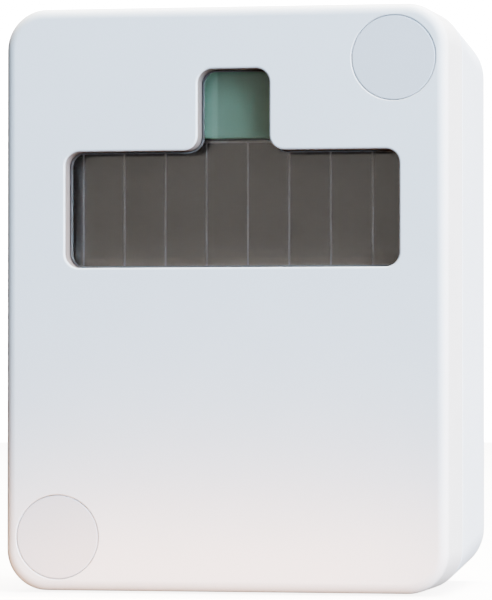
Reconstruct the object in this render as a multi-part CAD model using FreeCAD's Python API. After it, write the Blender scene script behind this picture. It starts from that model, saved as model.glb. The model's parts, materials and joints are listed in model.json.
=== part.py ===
"""Solar-powered light sensor in a small two-part outdoor housing, for fixing flat on a wall.

Row frame, millimetres: the origin is the centre of the flat back face, +Z is up, +X is to the right of
someone facing the unit, and the front looks along -Y. Depths are given as a distance out from the wall,
called "out", so a point at out = 10 lies in the plane y = -10.

The unit comes apart as: two snap-in screw caps, two captive cover screws with their rings, the front cover
with its window pane and seals, the solar module and light filter on a plastic carrier, and the board with
its radio, battery and setting parts, screwed into the rear housing.
"""

import FreeCAD, Part
import os
from math import acos, pi, sin, tan

V = FreeCAD.Vector
TO_FRONT = V(0, -1, 0)

# ---- housing ---------------------------------------------------------------------------------------------
WIDTH = 50.0
HEIGHT = 65.0
DEPTH = 35.0
CORNER_R = 4.6           # corners of the outline
EDGE_R = 1.2             # rounding of the cover's front edge
SPLIT = 23.8             # where the cover meets the rear housing
BACK_TAPER = 0.9         # the rear housing narrows by this much on each side towards the wall
BACK_CORNER_R = 5.2      # its corners at the wall
BACK_WALL = 2.4
BACK_FIELDS = (4.0, 20.0, 19.0, 0.6)   # shallow fields in the back: x from, x to, half height, depth
FRONT_WALL = 2.4
EDGE_BREAK = 0.25        # chamfer of the rear housing at the parting line, and the window's rounded rim
COVER_BREAK = 0.1        # chamfer of the cover at the parting line

# ---- sealed space: a rectangle with its four corners kept solid for screws -------------------------------
CAVITY_X = 22.6          # half width
CAVITY_Z = 30.1          # half height
NOTCH_X = 13.1           # where the solid corners begin
NOTCH_Z = 20.6
CAVITY_R = 2.0
TONGUE = 0.9             # thickness of the sealing rib on the rear housing
TONGUE_H = 1.0
SEAL_LEDGE = 25.6        # out, the ledge in the cover that the seal sits against
SEAL_GAP = 0.03

# ---- corner screws ---------------------------------------------------------------------------------------
SCREW_X = 19.0
SCREW_Z = 26.5
COVER_SCREWS = ((SCREW_X, SCREW_Z), (-SCREW_X, -SCREW_Z))       # upper right, lower left
WALL_SCREWS = ((-SCREW_X, SCREW_Z), (SCREW_X, -SCREW_Z))        # upper left, lower right
WALL_HOLE_R = 2.25
WALL_ACCESS_R = 4.3
WALL_SEAT = 5.4
CAP_BORE_R = 4.7
CAP_STEP = 31.55         # out, the step that the cap's skirt rests on
HEAD_BORE_R = 4.15
SCREW_SEAT = 25.4
SHANK_HOLE_R = 2.05
SHANK_R = 1.95
HEAD_R = 3.5
HEAD_UNDER = 26.2
HEAD_H = 2.6
SCREW_TIP = 19.2
INSERT_R = 2.9
INSERT_BORE_R = 2.0
INSERT_FROM, INSERT_TO = 18.2, 23.4

# ---- window: a wide opening with a short stem above it ---------------------------------------------------
WIN_LEFT, WIN_RIGHT = -18.15, 19.65
WIN_LOW, WIN_HIGH = 3.5, 16.5
STEM_LEFT, STEM_RIGHT = -3.05, 5.1
STEM_TOP = 25.55
WIN_R = 1.6
LIP = 1.2                # rib round the opening, inside the cover
LIP_BACK = 31.4
PANE_FRONT = 32.75
PANE_SEAT = 30.9
PANE_BACK = 29.7
PANE_GAP = 0.12
PANE_EDGE_R = 0.15

# ---- solar module, filter and their carrier --------------------------------------------------------------
STRIPS = 9
STRIP_PITCH = 4.72
STRIP_GAP = 0.22
STRIP_EDGE = 0.1         # from the strips to the module's edge, at least
STRIPS_X = -0.77         # centre of the strips; the two outer ones are cut to the module
MODULE_X = -0.52         # centre
MODULE_W = 42.5
MODULE_LOW, MODULE_HIGH = 1.8, 17.8
MODULE_FRONT = 29.2
GLASS_T = 1.1
STRIP_T = 0.06
FILM_T = 0.14
FILTER_X = 1.05
FILTER_W = 9.8
FILTER_LOW, FILTER_HIGH = 18.0, 27.3
FILTER_T = 1.0
CARRIER_FRONT = MODULE_FRONT - GLASS_T - STRIP_T - FILM_T
CARRIER_T = 1.5
CARRIER_BACK = CARRIER_FRONT - CARRIER_T
CARRIER_STEM = (-5.6, 7.7)
CARRIER_TOP = 28.9
LEG = 2.7                # legs are square
LEGS = ((-19.8, 3.4), (18.6, 3.4), (CARRIER_STEM[0] + LEG / 2, 27.5), (CARRIER_STEM[1] - LEG / 2, 27.5))
PEG_R = 0.8              # pegs on the legs, in the board
PEG_HOLE_R = 0.85
CLIPS = (5.4, 14.2)      # heights of the snap clips beside the module
CLIP_W = 3.0
CLIP_T = 0.43
CLIP_HOOK = 0.35
WIRE_SLOT = (12.2, 18.0, 2.2, 4.6)          # x from, x to, z from, z to

# ---- main board ------------------------------------------------------------------------------------------
BOARD_BACK = 10.0
BOARD_T = 1.6
BOARD = BOARD_BACK + BOARD_T                # out, the board's front face
BOARD_EDGE = 0.6                            # gap round the board
PILLARS = [(x, z) for x in (-19.0, 19.0) for z in (-16.0, 16.0)]
PILLAR_R = 2.7
BOARD_SCREW_R = 0.95
BOARD_HOLE_R = 1.2

# ---- setting parts at the board's lower end --------------------------------------------------------------
LEARN_X = -6.4
LEARN_Z = -25.0
LEARN_TOP = BOARD + 3.4
JUMPER_X = 6.0
JUMPER_Z = -25.0
JUMPER_PITCH = 2.54
JUMPER_PIN = 0.64
JUMPER_PIN_TOP = BOARD + 8.4

# ---- battery ---------------------------------------------------------------------------------------------
CELL_R = 7.25
CELL_SLEEVE_T = 0.12
CELL_L = 24.0
CELL_Z = -9.6
CELL_OUT = BOARD + 1.3 + CELL_R             # out, the cell's axis
HOLDER_X = 15.5
HOLDER_Z = 8.6
HOLDER_WALL = 1.3

# ---- sensor stack ----------------------------------------------------------------------------------------
SENSOR_BOARD = 23.0                         # out, its front face
SENSOR_Z = 22.6
PIN = 0.5
WIRE_R = 0.4


def point(x, z, out):
    return V(x, -out, z)


def outline(corners, out):
    """A closed wire in the plane at that distance. Each corner is (x, z, radius)."""
    n = len(corners)
    edges, ends = [], []
    for i, (x, z, r) in enumerate(corners):
        before, after = corners[i - 1], corners[(i + 1) % n]
        a = V(before[0] - x, 0, before[1] - z).normalize()
        b = V(after[0] - x, 0, after[1] - z).normalize()
        here = point(x, z, out)
        if r <= 0:
            ends.append((here, here, None))
            continue
        half = acos(max(-1.0, min(1.0, a.dot(b)))) / 2
        run = r / tan(half)
        middle = here + (a + b).normalize() * (r / sin(half) - r)
        ends.append((here + a * run, here + b * run, middle))
    for i, (start, end, middle) in enumerate(ends):
        if middle is not None:
            edges.append(Part.Arc(start, middle, end).toShape())
        following = ends[(i + 1) % n][0]
        if (following - end).Length > 1e-6:
            edges.append(Part.LineSegment(end, following).toShape())
    return Part.Wire(edges)


def plate(corners, out_from, out_to):
    """A flat-sided solid between two distances from the wall."""
    face = Part.Face(outline(corners, out_from))
    return face.extrude(V(0, out_from - out_to, 0))


def rectangle(x0, x1, z0, z1, r=0.0):
    return [(x0, z0, r), (x1, z0, r), (x1, z1, r), (x0, z1, r)]


def block(x0, x1, z0, z1, out_from, out_to, r=0.0):
    return plate(rectangle(x0, x1, z0, z1, r), out_from, out_to)


def rod(x, z, r, out_from, out_to):
    return Part.makeCylinder(r, out_to - out_from, point(x, z, out_from), TO_FRONT)


def cone(x, z, r_from, r_to, out_from, out_to):
    return Part.makeCone(r_from, r_to, out_to - out_from, point(x, z, out_from), TO_FRONT)


def tube(x, z, r_outer, r_inner, out_from, out_to):
    return rod(x, z, r_outer, out_from, out_to).cut(rod(x, z, r_inner, out_from - 1, out_to + 1))


def join(shapes):
    whole = shapes[0]
    if len(shapes) > 1:
        whole = whole.multiFuse(shapes[1:])
    return whole.removeSplitter()


def edges_at(shape, out, keep=lambda edge: True):
    """Edges that lie wholly in the plane at that distance from the wall."""
    found = []
    for edge in shape.Edges:
        box = edge.BoundBox
        if abs(box.YMin + out) < 1e-4 and abs(box.YMax + out) < 1e-4 and keep(edge):
            found.append(edge)
    return found


def notched(grow):
    """The sealed space's outline, grown by that much all round."""
    x, z, nx, nz = CAVITY_X + grow, CAVITY_Z + grow, NOTCH_X + grow, NOTCH_Z + grow
    convex, concave = CAVITY_R + max(grow, -1.0), max(CAVITY_R - grow, 0.6)
    corners = []
    for sx, sz in ((1, -1), (1, 1), (-1, 1), (-1, -1)):
        arm_in_x = (sx * nx, sz * z, convex)
        inner = (sx * nx, sz * nz, concave)
        arm_in_z = (sx * x, sz * nz, convex)
        corners += [arm_in_x, inner, arm_in_z] if sx * sz < 0 else [arm_in_z, inner, arm_in_x]
    return corners


def window(grow):
    """The window's outline, grown by that much all round."""
    convex, concave = WIN_R + grow, WIN_R - grow
    left, right, low, high = WIN_LEFT - grow, WIN_RIGHT + grow, WIN_LOW - grow, WIN_HIGH + grow
    stem_left, stem_right, top = STEM_LEFT - grow, STEM_RIGHT + grow, STEM_TOP + grow
    return [
        (left, low, convex),
        (right, low, convex),
        (right, high, convex),
        (stem_right, high, concave),
        (stem_right, top, convex),
        (stem_left, top, convex),
        (stem_left, high, concave),
        (left, high, convex),
    ]


# ---- shells ----------------------------------------------------------------------------------------------
def housing_outline(inset, r, out):
    """The housing's outline at that distance from the wall, drawn in by the inset."""
    w, h = WIDTH / 2 - inset, HEIGHT / 2 - inset
    return outline(rectangle(-w, w, -h, h, r), out)


def rear_housing():
    foot, small = 2 * EDGE_BREAK, BACK_TAPER
    rings = (
        (small + foot, BACK_CORNER_R - foot, 0),
        (small, BACK_CORNER_R, foot),
        (0, CORNER_R, SPLIT - EDGE_BREAK),
        (EDGE_BREAK, CORNER_R - EDGE_BREAK, SPLIT),
    )
    shell = Part.makeLoft([housing_outline(*ring) for ring in rings], True, True)
    shell = shell.cut(plate(notched(0), BACK_WALL, SPLIT + 1))
    tongue = plate(notched(TONGUE), SPLIT - 0.5, SPLIT + TONGUE_H)
    tongue = tongue.cut(plate(notched(0), SPLIT - 1, SPLIT + 3))
    pillars = [rod(x, z, PILLAR_R, BACK_WALL - 0.5, BOARD_BACK) for x, z in PILLARS]
    shell = join([shell, tongue] + pillars)
    cuts = [rod(x, z, BOARD_SCREW_R + 0.05, BACK_WALL + 0.6, BOARD_BACK + 1) for x, z in PILLARS]
    near, far, tall, deep = BACK_FIELDS
    cuts += [block(near, far, -tall, tall, -1, deep, 2.0), block(-far, -near, -tall, tall, -1, deep, 2.0)]
    for x, z in COVER_SCREWS:
        cuts.append(rod(x, z, INSERT_R, INSERT_FROM, SPLIT + 1))
        cuts.append(rod(x, z, INSERT_BORE_R, INSERT_FROM - 3, INSERT_FROM + 1))
        cuts.append(rod(x, z, INSERT_R, BACK_WALL, INSERT_FROM - 5))
    for x, z in WALL_SCREWS:
        cuts.append(rod(x, z, WALL_ACCESS_R, WALL_SEAT, SPLIT + 2))
        cuts.append(rod(x, z, WALL_HOLE_R, -1, WALL_SEAT + 1))
    return shell.cut(Part.makeCompound(cuts))


def thread_inserts():
    """Brass inserts for the cover screws, with two grip flanges each."""
    inserts = []
    for x, z in COVER_SCREWS:
        middle = (INSERT_FROM + INSERT_TO) / 2
        body = rod(x, z, INSERT_R, INSERT_FROM, INSERT_TO)
        body = body.cut(tube(x, z, INSERT_R + 1, INSERT_R - 0.35, middle - 0.5, middle + 0.5))
        inserts.append(body.cut(rod(x, z, INSERT_BORE_R, INSERT_FROM - 1, INSERT_TO + 1)))
    return Part.makeCompound(inserts)


def in_window(edge):
    """True for an edge inside the window's own rectangle, so not one of the cover's outer edges."""
    box = edge.BoundBox
    across = box.XMin > WIN_LEFT - 0.1 and box.XMax < WIN_RIGHT + 0.1
    return across and box.ZMin > WIN_LOW - 0.1 and box.ZMax < STEM_TOP + 0.1


def front_cover():
    w, h = WIDTH / 2, HEIGHT / 2
    shell = plate(rectangle(-w, w, -h, h, CORNER_R), SPLIT, DEPTH)
    shell = shell.makeFillet(EDGE_R, edges_at(shell, DEPTH))
    shell = shell.makeChamfer(COVER_BREAK, edges_at(shell, SPLIT))
    shell = shell.cut(plate(notched(-0.1), SPLIT - 1, DEPTH - FRONT_WALL))
    shell = shell.cut(plate(notched(TONGUE + 0.15), SPLIT - 1, SEAL_LEDGE))
    shell = join([shell, plate(window(LIP), LIP_BACK, DEPTH - FRONT_WALL + 0.5)])
    shell = shell.cut(plate(window(0), LIP_BACK - 1, DEPTH + 1))
    shell = shell.makeFillet(EDGE_BREAK, edges_at(shell, DEPTH, in_window))
    cuts = []
    for x, z in COVER_SCREWS:
        cuts.append(rod(x, z, CAP_BORE_R, CAP_STEP, DEPTH + 1))
        cuts.append(cone(x, z, CAP_BORE_R, CAP_BORE_R + 0.2, DEPTH - 0.12, DEPTH + 0.08))
        cuts.append(rod(x, z, HEAD_BORE_R, SCREW_SEAT, CAP_STEP + 1))
        cuts.append(rod(x, z, SHANK_HOLE_R, SPLIT - 1, SCREW_SEAT + 1))
    for x, z in WALL_SCREWS:
        cuts.append(rod(x, z, WALL_ACCESS_R, SPLIT - 1, DEPTH - FRONT_WALL))
    return shell.cut(Part.makeCompound(cuts))


def housing_seal():
    """Flat foam ring on the cover's ledge, pressed by the tongue."""
    ring = plate(notched(TONGUE + 0.1), SPLIT + TONGUE_H + SEAL_GAP, SEAL_LEDGE)
    return ring.cut(plate(notched(0.1), SPLIT, SEAL_LEDGE + 1))


def window_pane():
    """Clear stepped pane: a flange behind the lip and a boss that fills the opening."""
    boss = plate(window(-PANE_GAP), PANE_BACK, PANE_FRONT)
    boss = boss.makeFillet(PANE_EDGE_R, edges_at(boss, PANE_FRONT))
    return join([boss, plate(window(LIP), PANE_BACK, PANE_SEAT)])


def window_gasket():
    ring = plate(window(LIP - 0.1), PANE_SEAT, LIP_BACK)
    return ring.cut(plate(window(0.15), PANE_SEAT - 1, LIP_BACK + 1))


# ---- cover screws and caps -------------------------------------------------------------------------------
def cover_screw(x, z):
    """Cheese-head screw with a cross recess."""
    top = HEAD_UNDER + HEAD_H
    head = rod(x, z, HEAD_R, HEAD_UNDER, top)
    head = head.makeFillet(0.5, edges_at(head, top))
    shank = rod(x, z, SHANK_R, SCREW_TIP + 0.6, HEAD_UNDER + 0.1)
    tip = cone(x, z, SHANK_R - 0.6, SHANK_R, SCREW_TIP, SCREW_TIP + 0.6)
    screw = join([head, shank, tip])
    arm, slot, deep = 1.9, 0.45, 1.5
    screw = screw.cut(block(x - arm, x + arm, z - slot, z + slot, top - deep, top + 1))
    return screw.cut(block(x - slot, x + slot, z - arm, z + arm, top - deep, top + 1))


def screw_ring(x, z):
    """Rubber ring that seals the screw and keeps it captive."""
    thick = (HEAD_UNDER - SCREW_SEAT) / 2
    return Part.makeTorus(SHANK_R + 0.06 + thick, thick - 0.02, point(x, z, SCREW_SEAT + thick), TO_FRONT)


def screw_cap(x, z):
    """Plug that hides the screw: a disc flush with the cover, with a slotted skirt."""
    face = DEPTH - 0.05
    disc = rod(x, z, CAP_BORE_R - 0.1, face - 1.4, face)
    disc = disc.makeFillet(0.15, edges_at(disc, face))
    skirt = tube(x, z, CAP_BORE_R - 0.15, HEAD_R + 0.4, CAP_STEP + 0.03, face - 1.3)
    for turn in (0, 60, 120):
        gap = block(x - 6, x + 6, z - 0.5, z + 0.5, CAP_STEP - 1, face - 1.8)
        gap.rotate(point(x, z, 0), V(0, 1, 0), turn + 15)
        skirt = skirt.cut(gap)
    return join([disc, skirt])


# ---- solar module and light filter -----------------------------------------------------------------------
def solar_glass():
    half = MODULE_W / 2
    back = MODULE_FRONT - GLASS_T
    glass = block(MODULE_X - half, MODULE_X + half, MODULE_LOW, MODULE_HIGH, back, MODULE_FRONT)
    return glass.makeChamfer(0.12, edges_at(glass, MODULE_FRONT))


def solar_strips():
    """Thin cells side by side behind the glass."""
    front = MODULE_FRONT - GLASS_T
    first = STRIPS_X - STRIPS * STRIP_PITCH / 2
    edge = MODULE_W / 2 - STRIP_EDGE
    strips = []
    for i in range(STRIPS):
        start = first + i * STRIP_PITCH + STRIP_GAP / 2
        left = max(start, MODULE_X - edge)
        right = min(start + STRIP_PITCH - STRIP_GAP, MODULE_X + edge)
        strips.append(block(left, right, MODULE_LOW + 0.25, MODULE_HIGH - 0.25, front - STRIP_T, front))
    return Part.makeCompound(strips)


def solar_back_film():
    half = MODULE_W / 2
    front = MODULE_FRONT - GLASS_T - STRIP_T
    film = block(MODULE_X - half, MODULE_X + half, MODULE_LOW, MODULE_HIGH, CARRIER_FRONT, front)
    return film.cut(solar_contact_tabs())


def solar_contact_tabs():
    """Solder pads on the module's back, over the slot in the carrier."""
    tabs = []
    for x in (13.4, 16.8):
        tabs.append(block(x - 0.9, x + 0.9, 2.6, 4.2, CARRIER_FRONT, CARRIER_FRONT + FILM_T))
    return Part.makeCompound(tabs)


def solar_carrier():
    """Frame on four legs that holds the module and the filter just behind the pane."""
    half = MODULE_W / 2
    left, right = MODULE_X - half, MODULE_X + half
    low, high = MODULE_LOW - 0.9, FILTER_LOW
    stem_left, stem_right = CARRIER_STEM
    pieces = [
        block(left, right, low, high, CARRIER_BACK, CARRIER_FRONT),
        block(stem_left, stem_right, high - 1, CARRIER_TOP, CARRIER_BACK, CARRIER_FRONT),
        block(left, right, low, MODULE_LOW - 0.1, CARRIER_BACK, MODULE_FRONT - 0.2),
    ]
    shelf = MODULE_FRONT - FILTER_T
    half_filter = FILTER_W / 2
    pieces.append(block(FILTER_X - half_filter, FILTER_X + half_filter, FILTER_LOW, CARRIER_TOP,
                        CARRIER_FRONT - 0.1, shelf))
    rim_front = MODULE_FRONT - 0.2
    frame = block(stem_left, stem_right, FILTER_LOW + 0.6, CARRIER_TOP, CARRIER_FRONT - 0.1, rim_front)
    reach = half_filter + 0.1
    pocket = block(FILTER_X - reach, FILTER_X + reach, FILTER_LOW - 1, FILTER_HIGH + 0.1,
                   CARRIER_FRONT - 1, MODULE_FRONT + 1)
    pieces.append(frame.cut(pocket))
    for x, z in LEGS:
        pieces.append(block(x - LEG / 2, x + LEG / 2, z - LEG / 2, z + LEG / 2, BOARD, CARRIER_BACK + 0.1))
        pieces.append(rod(x, z, PEG_R, BOARD_BACK + 0.2, BOARD + 0.1))
    hook = MODULE_FRONT + CLIP_HOOK
    for z in CLIPS:
        low_z, high_z = z - CLIP_W / 2, z + CLIP_W / 2
        for edge, inside in ((left - CLIP_T, left + CLIP_T), (right + CLIP_T, right - CLIP_T)):
            x0, x1 = sorted((edge, (edge + inside) / 2))
            pieces.append(block(x0, x1, low_z, high_z, CARRIER_BACK, hook))
            x0, x1 = sorted((edge, inside))
            pieces.append(block(x0, x1, low_z, high_z, MODULE_FRONT + 0.02, hook))
            pieces.append(block(x0, x1, low_z, high_z, CARRIER_BACK, CARRIER_FRONT - 0.3))
    for x in (-10.0, -1.0, 8.0):        # stiffening ribs behind the plate
        pieces.append(block(x - 0.5, x + 0.5, low, high, CARRIER_BACK - 1.6, CARRIER_BACK + 0.1))
    body = join(pieces)
    body = body.cut(rod(FILTER_X, SENSOR_Z, 2.8, CARRIER_BACK - 1, MODULE_FRONT + 1))
    x0, x1, z0, z1 = WIRE_SLOT
    return body.cut(block(x0, x1, z0, z1, CARRIER_BACK - 1, CARRIER_FRONT + 0.1))


def light_filter():
    """Green glass tile in front of the light sensor."""
    left, right = FILTER_X - FILTER_W / 2, FILTER_X + FILTER_W / 2
    tile = block(left, right, FILTER_LOW, FILTER_HIGH, MODULE_FRONT - FILTER_T, MODULE_FRONT, 0.3)
    return tile.makeFillet(0.25, edges_at(tile, MODULE_FRONT))


def light_tube():
    return tube(FILTER_X, SENSOR_Z, 3.5, 2.8, SENSOR_BOARD, CARRIER_BACK)


def sensor_board():
    return block(FILTER_X - 3.7, FILTER_X + 3.7, 18.2, 26.1, SENSOR_BOARD - 1.0, SENSOR_BOARD, 0.3)


def light_sensor():
    """Photodiode: a low square case with a raised lens."""
    x0, x1, z0, z1 = FILTER_X - 1.7, FILTER_X + 1.7, SENSOR_Z - 1.7, SENSOR_Z + 1.7
    case = block(x0, x1, z0, z1, SENSOR_BOARD, SENSOR_BOARD + 0.9, 0.2)
    lens = rod(FILTER_X, SENSOR_Z, 1.1, SENSOR_BOARD + 0.8, SENSOR_BOARD + 1.3)
    return join([case, lens.makeFillet(0.35, edges_at(lens, SENSOR_BOARD + 1.3))])


def sensor_pin_places():
    return [(FILTER_X + (i - 1.5) * 1.27, 19.1) for i in range(4)]


def sensor_pins():
    half, top = PIN / 2, SENSOR_BOARD - 1.0
    places = sensor_pin_places()
    return Part.makeCompound([block(x - half, x + half, z - half, z + half, BOARD, top) for x, z in places])


def sensor_pin_strip():
    (x0, z), (x1, _) = sensor_pin_places()[0], sensor_pin_places()[-1]
    strip = block(x0 - 0.64, x1 + 0.64, z - 0.9, z + 0.9, BOARD, BOARD + 1.8)
    return strip.cut(sensor_pins())


# ---- boards and parts on them ----------------------------------------------------------------------------
def main_board():
    board = plate(notched(-BOARD_EDGE), BOARD_BACK, BOARD)
    holes = [rod(x, z, BOARD_HOLE_R, BOARD_BACK - 1, BOARD + 1) for x, z in PILLARS]
    holes += [rod(x, z, PEG_HOLE_R, BOARD_BACK - 1, BOARD + 1) for x, z in LEGS]
    return board.cut(Part.makeCompound(holes))


def board_screws():
    """Four self-tapping screws with cross recesses."""
    screws = []
    for x, z in PILLARS:
        head = rod(x, z, 2.1, BOARD, BOARD + 1.5)
        head = head.makeFillet(0.6, edges_at(head, BOARD + 1.5))
        screw = join([head, rod(x, z, BOARD_SCREW_R, BACK_WALL + 1.8, BOARD + 0.1)])
        screw = screw.cut(block(x - 1.1, x + 1.1, z - 0.25, z + 0.25, BOARD + 0.7, BOARD + 2))
        screws.append(screw.cut(block(x - 0.25, x + 0.25, z - 1.1, z + 1.1, BOARD + 0.7, BOARD + 2)))
    return Part.makeCompound(screws)


def radio_board():
    """Radio module with half-round solder edges down both sides."""
    x0, x1, z0, z1 = -15.6, 1.4, 0.9, 17.3
    board = block(x0, x1, z0, z1, BOARD, BOARD + 1.0, 0.2)
    bites = []
    for i in range(10):
        z = z0 + 2.1 + i * 1.27
        for x in (x0, x1):
            bites.append(rod(x, z, 0.35, BOARD - 1, BOARD + 2))
    return board.cut(Part.makeCompound(bites))


def radio_shield():
    """Drawn metal can, open below, with vent holes."""
    x0, x1, z0, z1 = -13.8, -0.4, 3.2, 15.4
    base = BOARD + 1.0
    can = block(x0, x1, z0, z1, base, base + 2.3, 0.6)
    can = can.makeFillet(0.35, edges_at(can, base + 2.3))
    can = can.cut(block(x0 + 0.25, x1 - 0.25, z0 + 0.25, z1 - 0.25, base - 1, base + 2.05, 0.4))
    holes = [rod(x0 + 2.2 + 1.8 * i, z0 + 1.9, 0.4, base, base + 4) for i in range(6)]
    return can.cut(Part.makeCompound(holes))


def helical_antenna():
    """Wound wire lying along X above the upper end of the board, with a foot at each end."""
    r, wire, pitch, turns = 2.1, 0.4, 1.6, 7.5
    z, out, start = 23.2, 15.9, -9.6
    path = Part.makeHelix(pitch, pitch * turns, r, 0, True)
    spine = Part.Wire(path.Edges)
    profile = Part.Wire(Part.makeCircle(wire, V(r, 0, 0), V(0, 1, 0)))
    coil = spine.makePipeShell([profile], True, True)
    coil.rotate(V(0, 0, 0), V(0, 1, 0), 90)
    coil.translate(V(start, -out, z))
    pieces = [coil]
    for x, foot_z in ((start, z - r), (start + pitch * turns, z + r)):
        pieces.append(rod(x, foot_z, wire, BOARD, out - 0.15))
        pieces.append(Part.makeSphere(1.3 * wire, point(x, foot_z, out)))
    return join(pieces)


def storage_capacitor():
    """Low round capacitor in a sleeve, with a crimp round its top."""
    x, z, r = 10.6, 9.6, 5.3
    can = rod(x, z, r, BOARD + 0.3, BOARD + 5.3)
    can = can.makeFillet(0.5, edges_at(can, BOARD + 5.3))
    return join([can, rod(x, z, r + 0.25, BOARD, BOARD + 0.9)])


def chip_body(x, z, long_x, long_z, thick):
    return block(x - long_x / 2, x + long_x / 2, z - long_z / 2, z + long_z / 2, BOARD, BOARD + thick)


def control_chips():
    return Part.makeCompound([chip_body(-17.3, -6.0, 2.6, 4.4, 1.0), chip_body(-0.6, -21.6, 3.6, 3.0, 0.9)])


def chip_parts():
    """Small resistors and capacitors round the board's edge."""
    left = ((-19.5, -1.5, 2.2, 2), (-19.4, -9.8, 1.8, 2))           # x, top z, step down, how many
    right = ((18.9, 9.4, 2.0, 2), (18.6, -1.6, 1.8, 5), (8.0, 24.2, 1.8, 2))
    rows = ((-10.8, -20.2, 3), (7.2, -20.2, 3), (10.6, 22.4, 1))    # first x, z, how many
    chips = []
    for x, z, step, count in left + right:
        chips += [chip_body(x, z - step * i, 1.6, 0.8, 0.6) for i in range(count)]
    for x, z, count in rows:
        chips += [chip_body(x + 1.7 * i, z, 0.8, 1.6, 0.6) for i in range(count)]
    return Part.makeCompound(chips)


def status_light():
    """Small lamp beside the learn button: square case and a round lens."""
    case = chip_body(-0.3, -27.0, 2.0, 1.3, 0.5)
    lens = rod(-0.3, -27.0, 0.5, BOARD + 0.4, BOARD + 0.8)
    return join([case, lens])


def learn_switch():
    """Square press switch with a metal-framed front and a round well for its plunger."""
    case = block(LEARN_X - 3.0, LEARN_X + 3.0, LEARN_Z - 3.0, LEARN_Z + 3.0, BOARD, LEARN_TOP, 0.3)
    well = rod(LEARN_X, LEARN_Z, 1.8, LEARN_TOP - 1.4, LEARN_TOP + 1)
    return case.cut(well)


def learn_plunger():
    plunger = rod(LEARN_X, LEARN_Z, 1.7, LEARN_TOP - 1.0, LEARN_TOP + 1.6)
    return plunger.makeFillet(0.25, edges_at(plunger, LEARN_TOP + 1.6))


def jumper_pin_places():
    columns = [JUMPER_X + i * JUMPER_PITCH for i in (-1, 0, 1)]
    return [(x, JUMPER_Z + k * JUMPER_PITCH) for x in columns for k in (-0.5, 0.5)]


def jumper_pins():
    """Six square pins with tapered tips."""
    half, top = JUMPER_PIN / 2, JUMPER_PIN_TOP
    pins = []
    for x, z in jumper_pin_places():
        pin = block(x - half, x + half, z - half, z + half, BOARD, top)
        pins.append(pin.makeChamfer(0.2, edges_at(pin, top)))
    return Part.makeCompound(pins)


def jumper_strip():
    half_x, half_z = 1.5 * JUMPER_PITCH, JUMPER_PITCH
    x0, x1, z0, z1 = JUMPER_X - half_x, JUMPER_X + half_x, JUMPER_Z - half_z, JUMPER_Z + half_z
    return block(x0, x1, z0, z1, BOARD, BOARD + 2.5).cut(jumper_pins())


def jumper_cap(column):
    """Slip-on bridge over the two pins of one column."""
    x = JUMPER_X + (column - 1) * JUMPER_PITCH
    base, top = BOARD + 2.55, JUMPER_PIN_TOP + 0.3
    tall = JUMPER_PITCH - 0.05
    cap = block(x - 1.15, x + 1.15, JUMPER_Z - tall, JUMPER_Z + tall, base, top, 0.2)
    cap = cap.cut(block(x - 2, x + 2, JUMPER_Z - 0.35, JUMPER_Z + 0.35, top - 1.2, top + 1))
    hole = JUMPER_PIN / 2 + 0.04
    for k in (-0.5, 0.5):
        z = JUMPER_Z + k * JUMPER_PITCH
        cap = cap.cut(block(x - hole, x + hole, z - hole, z + hole, base - 1, JUMPER_PIN_TOP + 0.05))
    return cap


# ---- battery ---------------------------------------------------------------------------------------------
def along_x(r, x_from, x_to, out=CELL_OUT, z=CELL_Z):
    return Part.makeCylinder(r, x_to - x_from, point(x_from, z, out), V(1, 0, 0))


def battery_can():
    """Half-length lithium cell: steel can with a raised positive end."""
    half = CELL_L / 2
    can = along_x(CELL_R - CELL_SLEEVE_T, -half, half)
    ends = [e for e in can.Edges if e.BoundBox.XLength < 1e-4]
    can = can.makeFillet(0.6, ends)
    return join([can, along_x(2.4, half - 0.5, half + 1.0)])


def battery_sleeve():
    half = CELL_L / 2
    return along_x(CELL_R, 1.2 - half, half - 1.2).cut(along_x(CELL_R - CELL_SLEEVE_T, -half, half))


def battery_holder():
    """Open cradle: floor, two end walls and two low side walls curved to the cell."""
    low, high = CELL_Z - HOLDER_Z, CELL_Z + HOLDER_Z
    floor = block(-HOLDER_X, HOLDER_X, low, high, BOARD, CELL_OUT - 1.2, 0.8)
    ends = []
    for side in (-1, 1):
        x0, x1 = sorted((side * HOLDER_X, side * (HOLDER_X - HOLDER_WALL)))
        ends.append(block(x0, x1, low, high, BOARD, CELL_OUT + 3.0, 0.0))
    cradle = join([floor] + ends)
    inner = HOLDER_X - HOLDER_WALL
    cradle = cradle.cut(along_x(CELL_R + 0.3, -inner, inner))
    cradle = cradle.cut(block(-6.5, 6.5, low - 1, high + 1, CELL_OUT - 4.4, CELL_OUT + 9))
    return cradle.cut(block(-inner, inner, CELL_Z - 4.5, CELL_Z + 4.5, BOARD + 1.0, CELL_OUT))


def battery_plus_contact():
    """Bent leaf on the right-hand end wall."""
    inner = HOLDER_X - HOLDER_WALL
    leaf = block(inner - 0.35, inner, CELL_Z - 3.2, CELL_Z + 3.2, BOARD + 1.0, CELL_OUT + 2.6)
    dimple = along_x(1.5, CELL_L / 2 + 1.05, inner - 0.3)
    return join([leaf, dimple])


def battery_minus_spring():
    """Conical coil on the left-hand end wall."""
    inner = HOLDER_X - HOLDER_WALL
    wire = 0.3
    length = inner - CELL_L / 2 - 2 * wire - 0.1
    turns = 3.0
    path = Part.makeHelix(length / turns, length, 2.6, 14.0)
    spine = Part.Wire(path.Edges)
    profile = Part.Wire(Part.makeCircle(wire, V(2.6, 0, 0), V(0, 1, 0)))
    coil = spine.makePipeShell([profile], True, True)
    coil.rotate(V(0, 0, 0), V(0, 1, 0), -90)
    coil.translate(V(-CELL_L / 2 - wire - 0.05, -CELL_OUT, CELL_Z))
    return coil


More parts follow.
